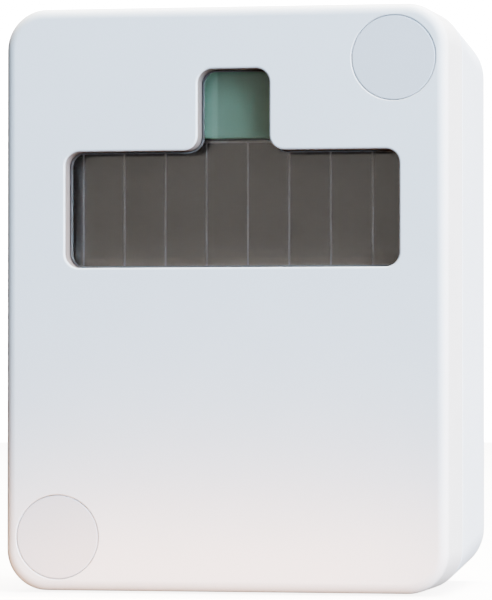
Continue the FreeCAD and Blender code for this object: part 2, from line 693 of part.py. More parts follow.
# ---- wires from the solar module -------------------------------------------------------------------------
def wire_route(x_top, x_board):
    z_top, z_board = 3.4, 1.6
    upper, lower = point(x_top, z_top, 23.6), point(x_board, z_board, 18.4)
    return [point(x_top, z_top, CARRIER_FRONT), upper, lower, point(x_board, z_board, BOARD)]


def solar_wire(x_top, x_board):
    """Straight runs joined by arcs, each 0.45 of the shorter run over the tangent of half the turn."""
    route = wire_route(x_top, x_board)
    edges, at = [], route[0]
    for before, here, after in zip(route, route[1:], route[2:]):
        a, b = (before - here), (after - here)
        run = 0.45 * min(a.Length, b.Length)
        a.normalize()
        b.normalize()
        half = acos(max(-1.0, min(1.0, a.dot(b)))) / 2
        r = run * tan(half)
        print("wire arc radius", round(r, 2))
        middle = here + (a + b).normalize() * (r / sin(half) - r)
        edges.append(Part.LineSegment(at, here + a * run).toShape())
        edges.append(Part.Arc(here + a * run, middle, here + b * run).toShape())
        at = here + b * run
    edges.append(Part.LineSegment(at, route[-1]).toShape())
    spine = Part.Wire(edges)
    profile = Part.Wire(Part.makeCircle(WIRE_R, route[0], V(0, 1, 0)))
    wire = spine.makePipeShell([profile], True, True)
    expected = pi * WIRE_R ** 2 * spine.Length
    print("wire volume", round(wire.Volume, 3), "section times length", round(expected, 3))
    return wire


def parts():
    (upper, lower) = COVER_SCREWS
    return {
        "rear_housing": rear_housing(),
        "thread_inserts": thread_inserts(),
        "front_cover": front_cover(),
        "housing_seal": housing_seal(),
        "window_pane": window_pane(),
        "window_gasket": window_gasket(),
        "cover_screw_upper": cover_screw(*upper),
        "cover_screw_lower": cover_screw(*lower),
        "screw_ring_upper": screw_ring(*upper),
        "screw_ring_lower": screw_ring(*lower),
        "screw_cap_upper": screw_cap(*upper),
        "screw_cap_lower": screw_cap(*lower),
        "solar_glass": solar_glass(),
        "solar_strips": solar_strips(),
        "solar_back_film": solar_back_film(),
        "solar_contact_tabs": solar_contact_tabs(),
        "solar_carrier": solar_carrier(),
        "light_filter": light_filter(),
        "light_tube": light_tube(),
        "light_sensor": light_sensor(),
        "sensor_board": sensor_board(),
        "sensor_pins": sensor_pins(),
        "sensor_pin_strip": sensor_pin_strip(),
        "main_board": main_board(),
        "board_screws": board_screws(),
        "radio_board": radio_board(),
        "radio_shield": radio_shield(),
        "helical_antenna": helical_antenna(),
        "storage_capacitor": storage_capacitor(),
        "control_chips": control_chips(),
        "chip_parts": chip_parts(),
        "status_light": status_light(),
        "learn_switch": learn_switch(),
        "learn_plunger": learn_plunger(),
        "jumper_strip": jumper_strip(),
        "jumper_pins": jumper_pins(),
        "jumper_cap_left": jumper_cap(0),
        "jumper_cap_right": jumper_cap(2),
        "battery_can": battery_can(),
        "battery_sleeve": battery_sleeve(),
        "battery_holder": battery_holder(),
        "battery_plus_contact": battery_plus_contact(),
        "battery_minus_spring": battery_minus_spring(),
        "solar_wire_red": solar_wire(13.4, 14.4),
        "solar_wire_black": solar_wire(16.8, 16.2),
    }


def main():
    os.makedirs("parts", exist_ok=True)
    for name, shape in parts().items():
        sound = shape.isValid() and len(shape.Solids) >= 1 and shape.Volume > 0
        if not sound:
            raise ValueError(name + " isn't a sound solid")
        shape.exportStep("parts/" + name + ".step")


main()
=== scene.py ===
"""Looks of a small solar-powered light sensor for a wall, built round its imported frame.

Every piece is in metres, in the frame's own space: the origin is the centre of the back face, +Z is up, +X is
to the right of someone facing the unit, and the front looks along -Y. "Out" is the distance from the wall.
"""

import json
import math

import bmesh
import bpy
from bpy.props import FloatProperty, FloatVectorProperty, IntProperty, PointerProperty
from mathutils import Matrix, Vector


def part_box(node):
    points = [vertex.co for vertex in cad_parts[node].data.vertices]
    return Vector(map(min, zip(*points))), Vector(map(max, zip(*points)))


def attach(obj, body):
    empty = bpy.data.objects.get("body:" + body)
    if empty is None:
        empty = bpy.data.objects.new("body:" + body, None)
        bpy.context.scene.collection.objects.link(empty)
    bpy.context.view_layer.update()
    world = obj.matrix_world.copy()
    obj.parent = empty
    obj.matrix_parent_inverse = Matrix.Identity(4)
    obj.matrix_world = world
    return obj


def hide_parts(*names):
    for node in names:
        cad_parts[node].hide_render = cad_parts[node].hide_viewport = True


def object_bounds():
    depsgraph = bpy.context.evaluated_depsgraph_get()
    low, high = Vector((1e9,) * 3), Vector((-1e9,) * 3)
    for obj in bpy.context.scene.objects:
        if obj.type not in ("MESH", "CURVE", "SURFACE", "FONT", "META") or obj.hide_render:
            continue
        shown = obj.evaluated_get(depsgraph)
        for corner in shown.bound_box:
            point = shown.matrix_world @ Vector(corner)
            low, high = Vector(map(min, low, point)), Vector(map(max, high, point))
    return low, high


bl_info = {
    "name": "Wall Light Sensor",
    "version": (1, 0, 0),
    "blender": (4, 5, 0),
    "location": "View3D > Sidebar > Sensor",
    "description": "Builds the shells, window, solar module, board and battery of a wall light sensor",
    "category": "Object",
}

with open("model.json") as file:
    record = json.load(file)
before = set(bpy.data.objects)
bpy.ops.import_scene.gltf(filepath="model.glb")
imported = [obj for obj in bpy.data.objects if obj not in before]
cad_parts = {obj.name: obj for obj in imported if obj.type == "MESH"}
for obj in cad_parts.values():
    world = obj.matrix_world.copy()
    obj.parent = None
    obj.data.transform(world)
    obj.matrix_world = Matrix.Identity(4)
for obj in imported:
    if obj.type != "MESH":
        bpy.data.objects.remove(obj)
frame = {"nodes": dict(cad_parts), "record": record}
CAD_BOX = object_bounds()
MM = 0.001

# Places in the part, in millimetres
FRONT_WALL = 2.4                              # thickness of the cover's front
BACK_WALL = 2.4                               # thickness of the housing's back
SCREWS = ((19.0, 26.5), (-19.0, -26.5))       # across and up
CAPACITOR = (10.6, 9.6)
CHIPS = ((-17.3, -6.0), (-0.6, -21.6))
FLAT = 0.5                                    # a face whose normal leans less than this stands on edge


def box_in_mm(node):
    """A node's low corner, high corner and middle, in millimetres."""
    low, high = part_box(node)
    return low / MM, high / MM, (low + high) / 2 / MM


def front_of(node):
    """How far a node's front is from the wall, in millimetres."""
    return -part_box(node)[0].y / MM


# ---- settings ---------------------------------------------------------------------------------------------
def length(name, description, default):
    return FloatProperty(name=name, description=description, default=default, unit="LENGTH", precision=5)


def angle(name, description, degrees):
    return FloatProperty(name=name, description=description, default=math.radians(degrees), subtype="ANGLE")


def colour(name, description, default):
    return FloatVectorProperty(
        name=name, description=description, default=default, subtype="COLOR", min=0, max=1)


class SensorSizes(bpy.types.PropertyGroup):
    """Sizes of the details that a user may change."""

    grain: length("Moulding grain", "Size of the fine grain on the moulded plastic", 0.16 * MM)
    grain_depth: length("Grain depth", "Height of that grain", 0.0045 * MM)
    cap_growth: length("Cap growth", "How much each cap swells to close its gap in the bore", 0.05 * MM)
    thread_pitch: length("Thread pitch", "Rise of the cover screws' thread in one turn", 0.7 * MM)
    thread_wire: length("Thread ridge", "Half the width of the thread's ridge", 0.20 * MM)
    track: length("Track width", "Width of the copper tracks on the main board", 0.22 * MM)
    print_line: length("Print line", "Width of the printed outlines on the main board", 0.14 * MM)


class SensorColours(bpy.types.PropertyGroup):
    """Base colours of the main finishes."""

    cover: colour("Cover", "Moulded plastic of the front cover", (0.80, 0.805, 0.81))
    # Bluer than the cover, though both are one plastic: painted cool light on the rear housing.
    base: colour("Rear housing", "Moulded plastic of the rear housing", (0.755, 0.83, 0.92))
    cap: colour("Screw caps", "Moulded plastic of the two caps", (0.63, 0.63, 0.65))
    cells: colour("Cells", "Thin film of the solar strips", (0.052, 0.037, 0.028))
    back_film: colour("Back film", "Film seen in the lines between the strips", (0.27, 0.24, 0.23))
    light_filter: colour("Light filter", "Green tile in the stem of the window", (0.118, 0.215, 0.150))
    board: colour("Board", "Solder resist of the main board", (0.010, 0.085, 0.035))


class SensorStage(bpy.types.PropertyGroup):
    """The camera, the lights and the floor."""

    azimuth: angle("Azimuth", "How far the camera stands to the right of the front", 11.383)
    elevation: angle("Elevation", "How far the camera stands above the middle", -0.91)
    distance: length("Distance", "From the camera to the point it looks at", 480.4 * MM)
    look_x: length("Look right", "How far right of the middle the camera looks", -1.039 * MM)
    look_z: length("Look up", "How far above the middle the camera looks", 0.151 * MM)
    lens: FloatProperty(name="Lens", description="Focal length in millimetres", default=250.97, min=1)
    floor: length("Floor", "Radius of the floor", 0.9)


# ---- finishes ---------------------------------------------------------------------------------------------
class Finish:
    """A material with one Principled shader. Patterns are placed in the piece's own space, in metres."""

    def __init__(self, name, base, roughness=0.5, metallic=0.0):
        self.material = bpy.data.materials.new(name)
        self.material.use_nodes = True
        self.tree = self.material.node_tree
        self.shader = self.tree.nodes["Principled BSDF"]
        self.base = tuple(base)
        self.set("Base Color", (*base, 1.0))
        self.set("Roughness", roughness)
        self.set("Metallic", metallic)
        self.where = self.add("ShaderNodeTexCoord").outputs["Object"]

    def add(self, kind, **settings):
        node = self.tree.nodes.new(kind)
        for name, value in settings.items():
            setattr(node, name, value)
        return node

    def set(self, socket, value):
        self.shader.inputs[socket].default_value = value
        return self

    def link(self, source, target):
        self.tree.links.new(source, target)

    def placed(self, size):
        """Object coordinates in units of that size."""
        mapping = self.add("ShaderNodeMapping")
        mapping.inputs["Scale"].default_value = [1 / size] * 3
        self.link(self.where, mapping.inputs["Vector"])
        return mapping.outputs["Vector"]

    def noise(self, size, detail=2.0):
        node = self.add("ShaderNodeTexNoise")
        node.inputs["Scale"].default_value = 1.0
        node.inputs["Detail"].default_value = detail
        self.link(self.placed(size), node.inputs["Vector"])
        return node.outputs["Fac"]

    def spots(self, size):
        node = self.add("ShaderNodeTexVoronoi", feature="SMOOTH_F1")
        node.inputs["Scale"].default_value = 1.0
        node.inputs["Smoothness"].default_value = 0.6
        self.link(self.placed(size), node.inputs["Vector"])
        return node.outputs["Distance"]

    def ranged(self, value, low, high, start=0.3, end=0.7):
        node = self.add("ShaderNodeMapRange")
        node.inputs["From Min"].default_value = start
        node.inputs["From Max"].default_value = end
        node.inputs["To Min"].default_value = low
        node.inputs["To Max"].default_value = high
        self.link(value, node.inputs["Value"])
        return node.outputs["Result"]

    def mottle(self, size, change):
        """The base colour drifts by that share, lighter and darker, over patches of that size."""
        mix = self.add("ShaderNodeMix", data_type="RGBA")
        mix.inputs["A"].default_value = (*[c * (1 - change) for c in self.base], 1)
        mix.inputs["B"].default_value = (*[min(1, c * (1 + change)) for c in self.base], 1)
        self.link(self.ranged(self.noise(size, 3), 0, 1), mix.inputs["Factor"])
        self.link(mix.outputs["Result"], self.shader.inputs["Base Color"])
        return self

    def painted_light_bands(self, axis, low, high, stops):
        """Paints light and shade into the base colour in soft bands along an axis from low to high: each stop
        is (share, brightness).
        """
        split = self.add("ShaderNodeSeparateXYZ")
        self.link(self.where, split.inputs["Vector"])
        ramp = self.add("ShaderNodeValToRGB")
        ramp.color_ramp.interpolation = "EASE"
        while len(ramp.color_ramp.elements) < len(stops):
            ramp.color_ramp.elements.new(0.5)
        for stop, (share, bright) in zip(ramp.color_ramp.elements, stops):
            stop.position = share
            stop.color = (*[c * bright for c in self.base], 1)
        self.link(self.ranged(split.outputs[axis], 0, 1, low, high), ramp.inputs["Fac"])
        drift = self.add("ShaderNodeMix", data_type="RGBA", blend_type="MULTIPLY")
        drift.inputs["Factor"].default_value = 1.0
        self.link(ramp.outputs["Color"], drift.inputs["A"])
        self.link(self.ranged(self.noise(3 * MM, 2), 0.94, 1.06), drift.inputs["B"])
        self.link(drift.outputs["Result"], self.shader.inputs["Base Color"])
        return self

    def rough(self, size, low, high):
        """The roughness drifts between two values over patches of that size."""
        self.link(self.ranged(self.noise(size, 3), low, high), self.shader.inputs["Roughness"])
        return self

    def bump(self, height, depth, strength=1.0):
        """Adds relief. Several bumps stack."""
        node = self.add("ShaderNodeBump")
        node.inputs["Distance"].default_value = depth
        node.inputs["Strength"].default_value = strength
        earlier = self.shader.inputs["Normal"].links
        if earlier:
            self.link(earlier[0].from_socket, node.inputs["Normal"])
        self.link(height, node.inputs["Height"])
        self.link(node.outputs["Normal"], self.shader.inputs["Normal"])
        return self


def moulded(name, base, roughness):
    """Spark-eroded moulded plastic: a fine even grain, with a slow drift in gloss and tone."""
    sizes = bpy.context.scene.sensor_sizes
    made = Finish(name, base, roughness)
    made.mottle(9 * MM, 0.012)
    made.rough(4 * MM, roughness - 0.04, roughness + 0.04)
    made.bump(made.spots(sizes.grain), sizes.grain_depth)
    made.bump(made.noise(2.2 * MM, 1), 0.004 * MM, 0.6)
    return made


def make_finishes():
    """Every finish, by name."""
    hues = bpy.context.scene.sensor_colours
    made = {
        "cover_plastic": moulded("cover_plastic", hues.cover, 0.46),
        # The rear housing's plastic carries painted cool light in its bluer colour.
        "base_plastic_cool_light": moulded("base_plastic_cool_light", hues.base, 0.46),
        # Painted shade on the window's inner walls: a darker, pinker copy of the cover plastic.
        "reveal_painted_shade": moulded("reveal_painted_shade", (0.31, 0.235, 0.20), 0.35),
        # Painted shade: a dark material on the pane's sides and fillets.
        "pane_side_shade": moulded("pane_side_shade", (0.12, 0.11, 0.105), 0.5),
        "cap_plastic": moulded("cap_plastic", hues.cap, 0.5),
        "black_plastic": moulded("black_plastic", (0.022, 0.022, 0.024), 0.42),
        "button_plastic": moulded("button_plastic", (0.70, 0.70, 0.67), 0.4),
        "jumper_plastic": moulded("jumper_plastic", (0.02, 0.07, 0.25), 0.35),
    }
    pane = Finish("clear_acrylic", (0.975, 0.975, 0.97), 0.03)
    pane.set("Transmission Weight", 1.0).set("IOR", 1.49)
    pane.bump(pane.noise(5 * MM, 1), 0.003 * MM, 0.5)
    made["clear_acrylic"] = pane

    glass = Finish("module_glass", (0.975, 0.97, 0.965), 0.05)
    glass.set("Transmission Weight", 1.0).set("IOR", 1.5)
    glass.bump(glass.noise(8 * MM, 1), 0.001 * MM, 0.5)
    made["module_glass"] = glass

    cells = Finish("cell_film", hues.cells, 0.35)
    # Painted reflection: the cells are up to four times lighter at their foot. Painted shade: a little darker
    # towards the top.
    cells.painted_light_bands("Z", 1.8 * MM, 17.8 * MM, (
        (0.10, 3.0), (0.125, 4.0), (0.16, 3.0), (0.20, 2.0), (0.27, 1.3), (0.36, 1.0), (0.92, 0.9)))
    cells.rough(1.5 * MM, 0.28, 0.42).set("IOR", 1.2)
    made["cell_film"] = cells

    film = Finish("back_film", hues.back_film, 0.5, 0.3)
    film.mottle(1.2 * MM, 0.08).rough(0.8 * MM, 0.4, 0.6)
    made["back_film"] = film

    tile = Finish("light_filter", hues.light_filter, 0.45)
    tile.set("IOR", 1.25)
    # Painted highlight: a lighter band near the tile's left edge. Painted shade: darker towards its right
    # edge.
    tile.painted_light_bands("X", -3.85 * MM, 5.95 * MM, (
        (0.04, 1.2), (0.13, 1.35), (0.20, 1.4), (0.235, 1.0), (0.80, 1.0), (0.88, 0.9), (0.93, 0.6)))
    tile.bump(tile.noise(4 * MM, 1), 0.002 * MM, 0.5)
    made["light_filter"] = tile

    rubber = Finish("seal_rubber", (0.018, 0.018, 0.018), 0.62)
    rubber.mottle(0.8 * MM, 0.2).bump(rubber.noise(0.09 * MM, 3), 0.006 * MM)
    made["seal_rubber"] = rubber

    foam = Finish("foam", (0.06, 0.06, 0.065), 0.85)
    foam.mottle(0.5 * MM, 0.25).bump(foam.spots(0.14 * MM), 0.03 * MM)
    made["foam"] = foam

    for name, base, rough_low, rough_high in (
        ("zinc_steel", (0.60, 0.61, 0.60), 0.32, 0.44),
        ("tin_plate", (0.70, 0.70, 0.68), 0.30, 0.42),
        ("nickel", (0.66, 0.63, 0.57), 0.30, 0.40),
        ("brass", (0.76, 0.56, 0.24), 0.30, 0.42),
        ("gold_flash", (0.85, 0.62, 0.26), 0.32, 0.42),
        ("copper_wire", (0.72, 0.33, 0.18), 0.28, 0.40),
        ("solder", (0.66, 0.66, 0.64), 0.28, 0.44),
    ):
        metal = Finish(name, base, rough_low, 1.0)
        metal.mottle(1.5 * MM, 0.06).rough(0.9 * MM, rough_low, rough_high)
        metal.bump(metal.noise(2.5 * MM, 1), 0.004 * MM, 0.4)
        made[name] = metal

    for name, base in (("board_resist", hues.board), ("radio_resist", (0.008, 0.03, 0.12))):
        board = Finish(name, base, 0.3)
        board.set("Coat Weight", 0.3).set("Coat Roughness", 0.15)
        board.mottle(0.6 * MM, 0.12).bump(board.noise(0.28 * MM, 3), 0.006 * MM)
        made[name] = board

    sleeve = Finish("capacitor_sleeve", (0.012, 0.016, 0.035), 0.3)
    sleeve.mottle(2 * MM, 0.1).bump(sleeve.noise(1.2 * MM, 1), 0.01 * MM, 0.5)
    made["capacitor_sleeve"] = sleeve
    chip = Finish("chip_epoxy", (0.018, 0.018, 0.019), 0.55)
    chip.mottle(0.3 * MM, 0.15).bump(chip.noise(0.06 * MM, 3), 0.004 * MM)
    made["chip_epoxy"] = chip
    tan = Finish("chip_ceramic", (0.42, 0.29, 0.17), 0.45)
    tan.mottle(0.4 * MM, 0.12).bump(tan.noise(0.08 * MM, 2), 0.003 * MM)
    made["chip_ceramic"] = tan
    print_ink = Finish("print_ink", (0.75, 0.75, 0.72), 0.6)
    print_ink.mottle(0.5 * MM, 0.05)
    made["print_ink"] = print_ink
    track = Finish("track_resist", [c * 1.9 for c in hues.board], 0.28)
    track.set("Coat Weight", 0.3).set("Coat Roughness", 0.15)
    track.mottle(0.6 * MM, 0.1)
    made["track_resist"] = track
    mark = Finish("sleeve_print", (0.05, 0.05, 0.055), 0.35)
    mark.mottle(1.0 * MM, 0.05)
    made["sleeve_print"] = mark
    lens = Finish("lamp_lens", (0.86, 0.87, 0.80), 0.1)
    lens.set("Transmission Weight", 0.5).set("IOR", 1.5)
    lens.mottle(0.6 * MM, 0.04)
    made["lamp_lens"] = lens
    film = Finish("cell_sleeve", (0.40, 0.43, 0.46), 0.28)
    film.set("Coat Weight", 0.5).set("Coat Roughness", 0.08)
    film.mottle(4 * MM, 0.03).bump(film.noise(3 * MM, 1), 0.01 * MM, 0.4)
    made["cell_sleeve"] = film
    for name, base in (("red_insulation", (0.42, 0.012, 0.012)), ("black_insulation", (0.014, 0.014, 0.014))):
        wire = Finish(name, base, 0.38)
        wire.mottle(0.7 * MM, 0.08).bump(wire.noise(0.2 * MM, 2), 0.004 * MM)
        made[name] = wire
    return made


FINISHES = {}


def finish_for(name):
    """The named material, made on first use."""
    if not FINISHES:
        FINISHES.update(make_finishes())
    return FINISHES[name].material


# ---- meshes -----------------------------------------------------------------------------------------------
def dress(obj, *finishes):
    """Gives a piece its materials, in slot order."""
    obj.data.materials.clear()
    for name in finishes:
        obj.data.materials.append(finish_for(name))


def settle(obj, body, slot, *nodes):
    """Puts a finished piece on its body and hides the nodes that it stands for. Its slot is not used."""
    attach(obj, body)
    if nodes:
        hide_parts(*nodes)
    return obj


def smooth(obj, limit=28):
    """Smooth shading that keeps edges sharper than the limit, in degrees, and flat faces flat."""
    obj.data.shade_smooth()
    obj.data.set_sharp_from_angle(angle=math.radians(limit))
    weighted = obj.modifiers.new("flat_faces", "WEIGHTED_NORMAL")
    weighted.mode = "FACE_AREA"
    weighted.weight = 90
    weighted.keep_sharp = True


def refined(node, finish, body, slot, limit=28):
    """A welded, smoothly shaded copy of a node, standing for it."""
    mesh = frame["nodes"][node].data.copy()
    made = bmesh.new()
    made.from_mesh(mesh)
    bmesh.ops.remove_doubles(made, verts=made.verts, dist=0.0005 * MM)
    bmesh.ops.dissolve_degenerate(made, edges=made.edges, dist=0.0002 * MM)
    bmesh.ops.dissolve_limit(made, angle_limit=math.radians(0.2), verts=made.verts, edges=made.edges,
                             delimit={"NORMAL"})
    made.to_mesh(mesh)
    made.free()
    obj = bpy.data.objects.new(node + "_piece", mesh)
    bpy.context.scene.collection.objects.link(obj)
    dress(obj, finish)
    smooth(obj, limit)
    return settle(obj, body, slot, node)


def body_and_slot(node):
    """The body that a node is on, and its material slot in the record."""
    for body, members in frame["record"]["behaviour"]["bodies"].items():
        if node in members:
            slots = {part["node"]: part["material_slot"] for part in frame["record"]["subparts"]}
            return body, slots[node]
    raise ValueError("no body holds " + node)


# ---- solids and repeats -----------------------------------------------------------------------------------
def add_solid(made, rings):
    """Adds a closed solid through rings of points, each (points, out); the first and last are capped."""
    loops = [[made.verts.new((p.x, -out * MM, p.y)) for p in points] for points, out in rings]
    faces = [made.faces.new(loops[0]), made.faces.new(loops[-1][::-1])]
    for near, far in zip(loops, loops[1:]):
        for i in range(len(near)):
            faces.append(made.faces.new((near[i - 1], near[i], far[i], far[i - 1])))
    bmesh.ops.recalc_face_normals(made, faces=faces)


def ribbon(path, width):
    """Points round a flat strip of that width along a path of (across, up), in millimetres."""
    places = [Vector(p) for p in path]
    left, right = [], []
    for i, place in enumerate(places):
        ahead = (places[min(i + 1, len(places) - 1)] - place).normalized()
        behind = (place - places[max(i - 1, 0)]).normalized()
        along = (ahead + behind).normalized()
        side = Vector((-along.y, along.x))
        inside = 0 < i < len(places) - 1
        narrowing = max(0.5, math.sqrt((1 + ahead.dot(behind)) / 2)) if inside else 1
        reach = width / 2 / narrowing
        left.append((place + side * reach) * MM)
        right.append((place - side * reach) * MM)
    return left + right[::-1]


def piece_from(made, name):
    """Turns that mesh into an object and frees it."""
    mesh = bpy.data.meshes.new(name)
    made.to_mesh(mesh)
    made.free()
    obj = bpy.data.objects.new(name, mesh)
    bpy.context.scene.collection.objects.link(obj)
    return obj


def ribbons(name, paths, width, out, height, finish, slot):
    """Raised strips along those paths on a face at that distance from the wall, as one piece on the base."""
    made = bmesh.new()
    for path in paths:
        edge = ribbon(path, width / MM)
        add_solid(made, [(edge, out), (edge, out + height)])
    obj = piece_from(made, name)
    dress(obj, finish)
    smooth(obj)
    return settle(obj, "base", slot)


def tree_for(name, inputs):
    """An empty Geometry Nodes tree with those named inputs, with its input and output nodes."""
    tree = bpy.data.node_groups.new(name, "GeometryNodeTree")
    tree.interface.new_socket("Geometry", in_out="INPUT", socket_type="NodeSocketGeometry")
    for label, kind in inputs:
        tree.interface.new_socket(label, in_out="INPUT", socket_type=kind)
    tree.interface.new_socket("Geometry", in_out="OUTPUT", socket_type="NodeSocketGeometry")
    return tree, tree.nodes.new("NodeGroupInput"), tree.nodes.new("NodeGroupOutput")


def finish_tree(tree, source, entry, end):
    """Ends a tree: real geometry, in the material that is given."""
    realize = tree.nodes.new("GeometryNodeRealizeInstances")
    paint = tree.nodes.new("GeometryNodeSetMaterial")
    tree.links.new(source, realize.inputs["Geometry"])
    tree.links.new(realize.outputs["Geometry"], paint.inputs["Geometry"])
    tree.links.new(entry.outputs["Material"], paint.inputs["Material"])
    tree.links.new(paint.outputs["Geometry"], end.inputs["Geometry"])
    return tree


def studs_tree():
    """A low cone on every point, standing out from the wall."""
    tree, entry, end = tree_for("studs", (
        ("Foot Radius", "NodeSocketFloat"),
        ("Top Radius", "NodeSocketFloat"),
        ("Height", "NodeSocketFloat"),
        ("Sides", "NodeSocketInt"),
        ("Material", "NodeSocketMaterial"),
    ))
    cone = tree.nodes.new("GeometryNodeMeshCone")
    turn = tree.nodes.new("GeometryNodeTransform")
    turn.inputs["Rotation"].default_value = (math.pi / 2, 0, 0)
    place = tree.nodes.new("GeometryNodeInstanceOnPoints")
    for socket, label in (("Radius Bottom", "Foot Radius"), ("Radius Top", "Top Radius"), ("Depth", "Height"),
                          ("Vertices", "Sides")):
        tree.links.new(entry.outputs[label], cone.inputs[socket])
    tree.links.new(cone.outputs["Mesh"], turn.inputs["Geometry"])
    tree.links.new(entry.outputs["Geometry"], place.inputs["Points"])
    tree.links.new(turn.outputs["Geometry"], place.inputs["Instance"])
    return finish_tree(tree, place.outputs["Instances"], entry, end)


def bars_tree():
    """A block on every point, turned about the axis to the wall by the point's own angle."""
    tree, entry, end = tree_for("bars", (("Size", "NodeSocketVector"), ("Material", "NodeSocketMaterial")))
    block = tree.nodes.new("GeometryNodeMeshCube")
    angle_here = tree.nodes.new("GeometryNodeInputNamedAttribute")
    angle_here.data_type = "FLOAT"
    angle_here.inputs["Name"].default_value = "turn"
    spin = tree.nodes.new("ShaderNodeCombineXYZ")
    place = tree.nodes.new("GeometryNodeInstanceOnPoints")
    tree.links.new(entry.outputs["Size"], block.inputs["Size"])
    tree.links.new(angle_here.outputs["Attribute"], spin.inputs["Y"])
    tree.links.new(entry.outputs["Geometry"], place.inputs["Points"])
    tree.links.new(block.outputs["Mesh"], place.inputs["Instance"])
    tree.links.new(spin.outputs["Vector"], place.inputs["Rotation"])
    return finish_tree(tree, place.outputs["Instances"], entry, end)


def sweep_tree():
    """A round bar along every line."""
    tree, entry, end = tree_for("sweep", (
        ("Radius", "NodeSocketFloat"),
        ("Sides", "NodeSocketInt"),
        ("Material", "NodeSocketMaterial"),
    ))
    line = tree.nodes.new("GeometryNodeMeshToCurve")
    ring = tree.nodes.new("GeometryNodeCurvePrimitiveCircle")
    sweep = tree.nodes.new("GeometryNodeCurveToMesh")
    sweep.inputs["Fill Caps"].default_value = True
    tree.links.new(entry.outputs["Geometry"], line.inputs["Mesh"])
    tree.links.new(entry.outputs["Radius"], ring.inputs["Radius"])
    tree.links.new(entry.outputs["Sides"], ring.inputs["Resolution"])
    tree.links.new(line.outputs["Curve"], sweep.inputs["Curve"])
    tree.links.new(ring.outputs["Curve"], sweep.inputs["Profile Curve"])
    return finish_tree(tree, sweep.outputs["Mesh"], entry, end)


TREES = {}
TREE_MAKERS = {"studs": studs_tree, "bars": bars_tree, "sweep": sweep_tree}


def grown(name, kind, places, values, finish, body, slot, turns=(), edges=()):
    """Runs one of the trees on those places, (across, out, up) in millimetres, and keeps a plain mesh."""
    if kind not in TREES:
        TREES[kind] = TREE_MAKERS[kind]()
    tree = TREES[kind]
    mesh = bpy.data.meshes.new(name)
    mesh.from_pydata([(x * MM, -out * MM, z * MM) for x, out, z in places], edges, [])
    spin = mesh.attributes.new("turn", "FLOAT", "POINT")
    spin.data.foreach_set("value", list(turns) or [0.0] * len(places))
    obj = bpy.data.objects.new(name, mesh)
    bpy.context.scene.collection.objects.link(obj)
    modifier = obj.modifiers.new("grow", "NODES")
    modifier.node_group = tree
    sockets = {item.name: item.identifier for item in tree.interface.items_tree if item.in_out == "INPUT"}
    for label, value in values.items():
        modifier[sockets[label]] = value
    modifier[sockets["Material"]] = finish_for(finish)
    plain = bpy.data.meshes.new_from_object(obj.evaluated_get(bpy.context.evaluated_depsgraph_get()))
    obj.modifiers.clear()
    obj.data = plain
    dress(obj, finish)
    smooth(obj)
    return settle(obj, body, slot)


def studs(name, places, foot, top, height, finish, slot, body="base", sides=12):
    """A low cone on each place, as one piece. Sizes are in millimetres."""
    values = {"Foot Radius": foot * MM, "Top Radius": top * MM, "Height": height * MM, "Sides": sides}
    return grown(name, "studs", places, values, finish, body, slot)


def bars(name, places, size, finish, slot, turns=()):
    """A block on each place, as one piece on the base. Sizes are in millimetres."""
    values = {"Size": [side * MM for side in size]}
    return grown(name, "bars", places, values, finish, "base", slot, turns)


def round_places(x, z, out, radius, count):
    """Places round an axis to the wall, with the angle of each."""
    turns = [2 * math.pi * i / count for i in range(count)]
    places = [(x + radius * math.cos(t), out, z + radius * math.sin(t)) for t in turns]
    return places, [-t for t in turns]


# ---- carried parts ----------------------------------------------------------------------------------------
CARRIED = {
    "shells": {"rear_housing": "base_plastic_cool_light", "front_cover": "cover_plastic"},
    "seals": {
        "housing_seal": "foam",
        "window_gasket": "seal_rubber",
        "screw_ring_upper": "seal_rubber",
        "screw_ring_lower": "seal_rubber",
    },
    "window": {"window_pane": "clear_acrylic"},
    "solar": {
        "solar_strips": "cell_film",
        "solar_back_film": "back_film",
        "solar_contact_tabs": "solder",
        "solar_carrier": "black_plastic",
    },
    "sensor": {
        "light_filter": "light_filter",
        "light_tube": "seal_rubber",
        "light_sensor": "lamp_lens",
        "sensor_board": "board_resist",
        "sensor_pins": "gold_flash",
        "sensor_pin_strip": "black_plastic",
    },
    "board": {"main_board": "board_resist", "board_screws": "zinc_steel"},
    "radio": {"radio_board": "radio_resist", "radio_shield": "tin_plate", "helical_antenna": "copper_wire"},
    "components": {
        "storage_capacitor": "capacitor_sleeve",
        "control_chips": "chip_epoxy",
        "chip_parts": "chip_ceramic",
        "status_light": "lamp_lens",
    },
    "settings": {
        "learn_switch": "black_plastic",
        "learn_plunger": "button_plastic",
        "jumper_strip": "black_plastic",
        "jumper_pins": "gold_flash",
        "jumper_cap_left": "jumper_plastic",
        "jumper_cap_right": "jumper_plastic",
    },
    "battery": {
        "battery_can": "nickel",
        "battery_sleeve": "cell_sleeve",
        "battery_holder": "black_plastic",
        "battery_plus_contact": "nickel",
        "battery_minus_spring": "nickel",
    },
    "wires": {"solar_wire_red": "red_insulation", "solar_wire_black": "black_insulation"},
    "screws": {
        "cover_screw_upper": "zinc_steel",
        "cover_screw_lower": "zinc_steel",
        "thread_inserts": "brass",
    },
}


def carry(group):
    """Makes a welded, smooth copy of each part in the group, in its own finish."""
    for node, finish in CARRIED[group].items():
        body, slot = body_and_slot(node)
        refined(node, finish, body, slot)


